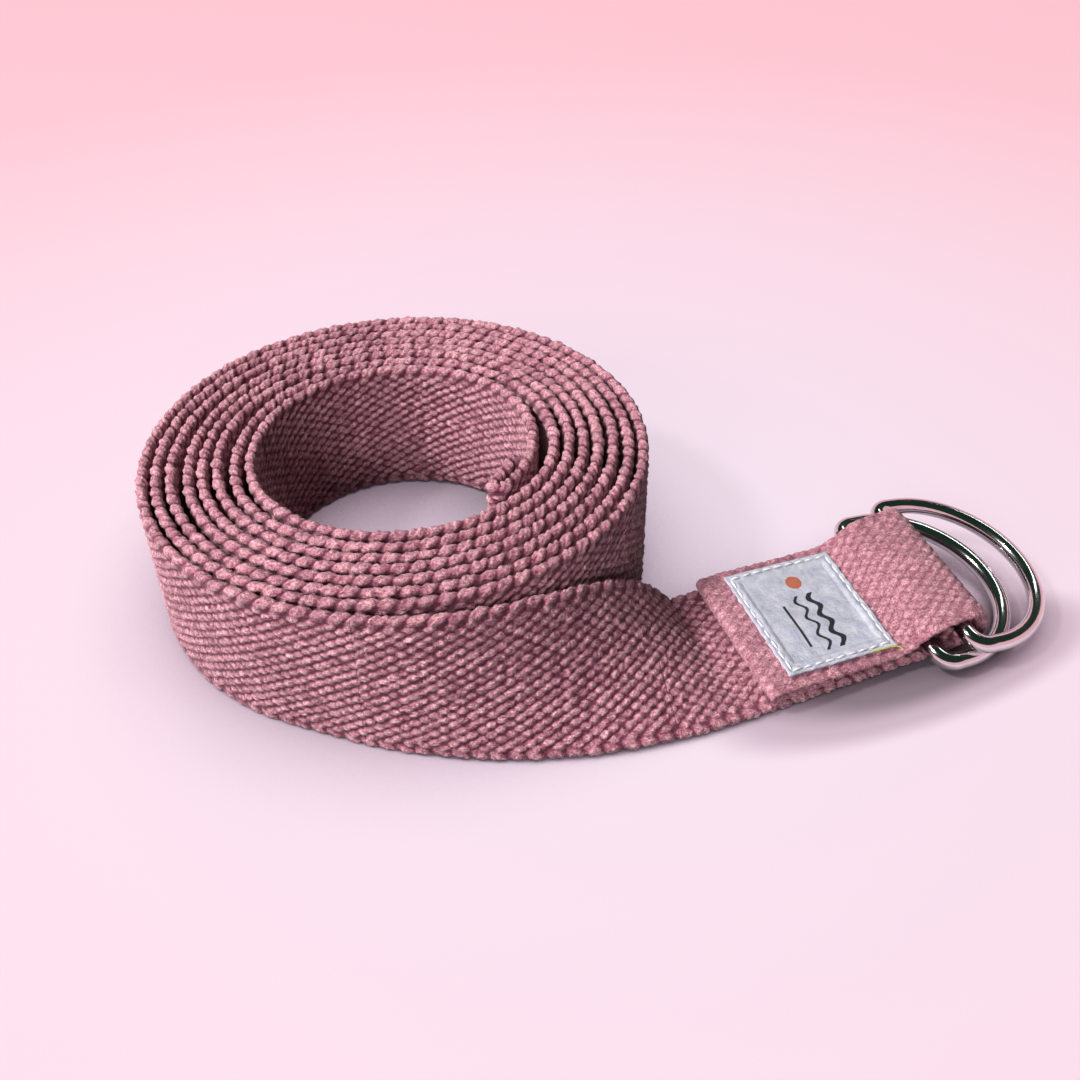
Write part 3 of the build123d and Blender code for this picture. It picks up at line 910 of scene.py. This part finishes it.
def label_seam(place, height):
    """Places of the stitches round the label."""
    low, long_side, wide_side = SEAM_INSET, LABEL_LONG - SEAM_INSET, LABEL_WIDE - SEAM_INSET
    corners = [(low, low), (long_side, low), (long_side, wide_side), (low, wide_side)]
    places = []
    for (x0, y0), (x1, y1) in zip(corners, corners[1:] + corners[:1]):
        length = math.hypot(x1 - x0, y1 - y0)
        count = int(length // LABEL_STITCH_STEP)
        for k in range(count):
            share = (k + 0.5) / count
            askew = math.radians(5.0 * (2 * float(chance(k, x0 * 1000, 41)) - 1))
            x, y = x0 + (x1 - x0) * share, y0 + (y1 - y0) * share
            spot = Matrix.Translation((x, y, height(x, y)))
            places.append(place @ spot @ Matrix.Rotation(math.atan2(y1 - y0, x1 - x0) + askew, 4, "Z"))
    return places


def on_label(x, y):
    """Height of a stitch lying on the label."""
    return 0.92 * MM + float(label_lift(np.array(x), np.array(y)))


seam_piece("label_seam_top", label_seam(label_frame, on_label), white_thread,
           "label_seam_needle_thread", "loop")
under_frame = loop_frame @ Matrix.Translation((LABEL_START, LABEL_EDGE, 0.0))
under_frame = under_frame @ Matrix.Rotation(LABEL_TURN, 4, "Z")
seam_piece("label_seam_below", label_seam(under_frame, lambda x, y: 0.10 * MM), white_thread,
           "label_seam_bobbin_thread", "loop")
TAIL_STITCHES = 10
stitch_angle = tail_angle + 6.0 * MM / tail_radius
tail_places = []
tail_spot = on_plan(np.array(coil_centre[:2]), tail_radius - 4.45 * MM, stitch_angle)
for k in range(TAIL_STITCHES):
    height = WEB_WIDTH / 2 + (k - (TAIL_STITCHES - 1) / 2) * 3.4 * MM
    turn = Matrix.Rotation(stitch_angle + math.pi, 4, "Z") @ Matrix.Rotation(math.pi / 2, 4, "Y")
    tail_places.append(Matrix.Translation((tail_spot[0], tail_spot[1], height)) @ turn)
seam_piece("tail_hem_stitches", tail_places, rose_thread, "tail_hem_thread", "coil")

# %% [markdown]
# ### The thread's loose end
# A lime coloured end of thread was left at one corner of the label. It runs beside the label's edge and its
# tip hangs over. A bent line with a round bevel makes it.

# %% Loose end
end_line = [
    (22.5, 0.35, 0.75), (24.5, 0.05, 0.72), (27.0, 0.10, 0.80),
    (29.2, -0.10, 0.85), (30.3, -0.6, 0.75), (30.7, -1.5, 0.35)]
end_curve = bpy.data.curves.new("loose_end", "CURVE")
end_curve.dimensions = "3D"
end_curve.bevel_depth = 0.20 * MM
end_curve.bevel_resolution = 2
end_curve.use_fill_caps = True
spline = end_curve.splines.new("POLY")
end_plan = rounded([(x, y) for x, y, z in end_line], 3)
end_side = rounded([(x, z) for x, y, z in end_line], 3)
end_points, _ = resample(np.column_stack([end_plan, end_side[:, 1]]), 0.25)
spline.points.add(len(end_points) - 1)
for target, spot in zip(spline.points, placed(end_points * MM, label_frame)):
    target.co = (*spot, 1.0)
loose = bpy.data.objects.new("label_thread_end", end_curve)
bpy.context.scene.collection.objects.link(loose)
bpy.ops.object.select_all(action="DESELECT")
loose.select_set(True)
bpy.context.view_layer.objects.active = loose
bpy.ops.object.convert(target="MESH")
loose = bpy.context.object
loose.data.materials.append(lime_thread)
bpy.ops.object.shade_smooth()
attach(loose, "loop")
print("loose end made")

# %% [markdown]
# ## The rings
# The rings keep the frame's mesh: their shape is right. Nickel plate is a mirror with a slight haze, so
# what matters is what it mirrors: a dark room above, a pale floor below, and the lights as bright streaks.

# %% Plated metal finish
plate, plate_shader = new_finish("ring_plate")
plate_place = add_node(plate, "ShaderNodeTexCoord").outputs["Object"]
haze = noise(plate, plate_place, 160.0, 4.0, 0.6)
haze_level = add_node(plate, "ShaderNodeMapRange", inputs={"Value": haze},
                      values={"To Min": 0.06, "To Max": 0.17})
plate.node_tree.links.new(haze_level.outputs["Result"], plate_shader.inputs["Roughness"])
plate_tone = ramp(plate, haze, [(0.3, (0.60, 0.61, 0.62, 1)), (0.7, (0.78, 0.78, 0.78, 1))])
plate.node_tree.links.new(plate_tone, plate_shader.inputs["Base Color"])
dents = noise(plate, plate_place, 420.0, 3.0)
plate.node_tree.links.new(bumped(plate, dents, 0.12, 0.0002), plate_shader.inputs["Normal"])
plate_shader.inputs["Metallic"].default_value = 1.0
for ring_name in ("d_ring_upper", "d_ring_lower"):
    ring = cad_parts[ring_name]
    ring.data.materials.clear()
    ring.data.materials.append(plate)
print("rings finished")

# %% [markdown]
# ## Floor and light
# The floor is a wide pale disc, and the backdrop is a ring that rises from its rim, so the floor seems to run
# on. Most of its brightness is its own glow. A painted contact shade darkens the glow where something stands
# close over the floor, and a soft shadow is painted on it beside the loop, for the strap at rest.

# %% Floor
FLOOR_RADIUS = 0.9
floor_finish, floor_shader = new_finish("pale_floor")
floor_place = add_node(floor_finish, "ShaderNodeTexCoord").outputs["Object"]
spread = add_node(floor_finish, "ShaderNodeVectorMath", operation="LENGTH", inputs={0: floor_place})
floor_tone = ramp(floor_finish, spread.outputs["Value"], [
    (0.04, (0.90, 0.76, 0.87, 1)), (0.20, (0.95, 0.70, 0.80, 1)),
    (0.42, (1.0, 0.58, 0.66, 1)), (1.0, (1.0, 0.54, 0.62, 1))])
# Painted contact shade: the glow is darkened where the floor is closely covered.
nearness = add_node(floor_finish, "ShaderNodeAmbientOcclusion", values={"Distance": 0.045}, samples=8)
painted_contact_shade = ramp(floor_finish, nearness.outputs["AO"], [
    (0.25, (0.03, 0.02, 0.03, 1)), (0.50, (0.55, 0.50, 0.54, 1)), (0.80, (1, 1, 1, 1))])
beside_tab = loop_origin + loop_along * 0.046 - end_across * 0.001
tab_heading = math.atan2(loop_along.y, loop_along.x)
tab_map = add_node(floor_finish, "ShaderNodeMapping", vector_type="TEXTURE", inputs={"Vector": floor_place},
                   values={"Location": (beside_tab.x, beside_tab.y, 0), "Rotation": (0, 0, tab_heading),
                           "Scale": (0.060, 0.019, 1.0)})
from_tab = add_node(floor_finish, "ShaderNodeVectorMath", operation="LENGTH",
                    inputs={0: tab_map.outputs["Vector"]})
tab_shade = ramp(floor_finish, from_tab.outputs["Value"], [
    (0.0, (0.03, 0.02, 0.03, 1)), (0.35, (0.14, 0.12, 0.13, 1)),
    (0.70, (0.62, 0.57, 0.60, 1)), (1.0, (1, 1, 1, 1))])
tab_shade.node.color_ramp.interpolation = "EASE"
shaded = mix(floor_finish, "MULTIPLY", 1.0, painted_contact_shade, tab_shade)
floor_glow = mix(floor_finish, "MULTIPLY", 1.0, floor_tone, shaded)
paint = mix(floor_finish, "MULTIPLY", 1.0, floor_tone, (0.13, 0.13, 0.13, 1))
floor_finish.node_tree.links.new(paint, floor_shader.inputs["Base Color"])
floor_finish.node_tree.links.new(floor_glow, floor_shader.inputs["Emission Color"])
floor_shader.inputs["Emission Strength"].default_value = 0.86
floor_shader.inputs["Roughness"].default_value = 0.9
floor_shader.inputs["Specular IOR Level"].default_value = 0.1

bpy.ops.mesh.primitive_circle_add(vertices=96, radius=FLOOR_RADIUS, fill_type="NOTHING", location=(0, 0, 0))
floor = bpy.context.object
floor.name = "floor"
bpy.ops.object.mode_set(mode="EDIT")
bpy.ops.mesh.select_all(action="SELECT")
bpy.ops.mesh.edge_face_add()
bpy.ops.object.mode_set(mode="OBJECT")
floor.data.materials.append(floor_finish)
floor.visible_diffuse = False

bpy.ops.mesh.primitive_circle_add(vertices=96, radius=FLOOR_RADIUS, fill_type="NOTHING", location=(0, 0, 0))
sweep = bpy.context.object
sweep.name = "backdrop"
bpy.ops.object.mode_set(mode="EDIT")
bpy.ops.mesh.select_all(action="SELECT")
for rise, widen in ((0.03, 1.10), (0.08, 1.09), (0.14, 1.06), (0.25, 1.03)):
    bpy.ops.mesh.extrude_region_move(TRANSFORM_OT_translate={"value": (0, 0, rise)})
    bpy.ops.transform.resize(value=(widen, widen, 1.0))
bpy.ops.object.mode_set(mode="OBJECT")
bpy.ops.object.shade_smooth()
sweep.data.materials.append(floor_finish)
sweep.visible_diffuse = False
print("floor and backdrop made")

# %% [markdown]
# ### Lights
# One small strong light stands high on the left and shows every yarn, and a wide soft one low in front opens
# the shadows. A faint one above and a faint strip behind add to them. The two wide ones are hidden from
# reflections, so the rings mirror only the small light and the strip.

# %% Lights
def soft_light(name, azimuth, height_angle, distance, size, power, colour):
    """An area light aimed at the middle of the strap."""
    data = bpy.data.lights.new(name, "AREA")
    data.shape = "RECTANGLE"
    data.size, data.size_y = size
    data.energy = power
    data.color = colour
    lamp = bpy.data.objects.new(name, data)
    a, e = math.radians(azimuth), math.radians(height_angle)
    lamp.location = Vector((math.cos(a) * math.cos(e), math.sin(a) * math.cos(e), math.sin(e))) * distance
    lamp.rotation_mode = "QUATERNION"
    lamp.rotation_quaternion = (-lamp.location).to_track_quat("-Z", "Y")
    bpy.context.scene.collection.objects.link(lamp)
    return lamp


soft_light("key_light", 190.0, 48.0, 1.5, (0.20, 0.20), 25.0, (1.0, 0.98, 0.97))
soft_light("back_strip", 60.0, 50.0, 1.6, (0.9, 0.12), 2.0, (1.0, 1.0, 1.0))
fills = [soft_light("front_fill", -118.0, 20.0, 1.4, (1.2, 0.9), 44.0, (1.0, 0.95, 0.97)),
         soft_light("top_fill", 0.0, 75.0, 1.5, (1.4, 1.4), 2.0, (1.0, 0.80, 0.86))]
for fill in fills:
    fill.visible_glossy = False

world = bpy.data.worlds.new("dim_room")
bpy.context.scene.world = world
world.use_nodes = True
world.node_tree.nodes["Background"].inputs["Color"].default_value = (0.26, 0.60, 0.42, 1.0)
world.node_tree.nodes["Background"].inputs["Strength"].default_value = 0.055
bpy.context.scene.view_settings.view_transform = "Standard"
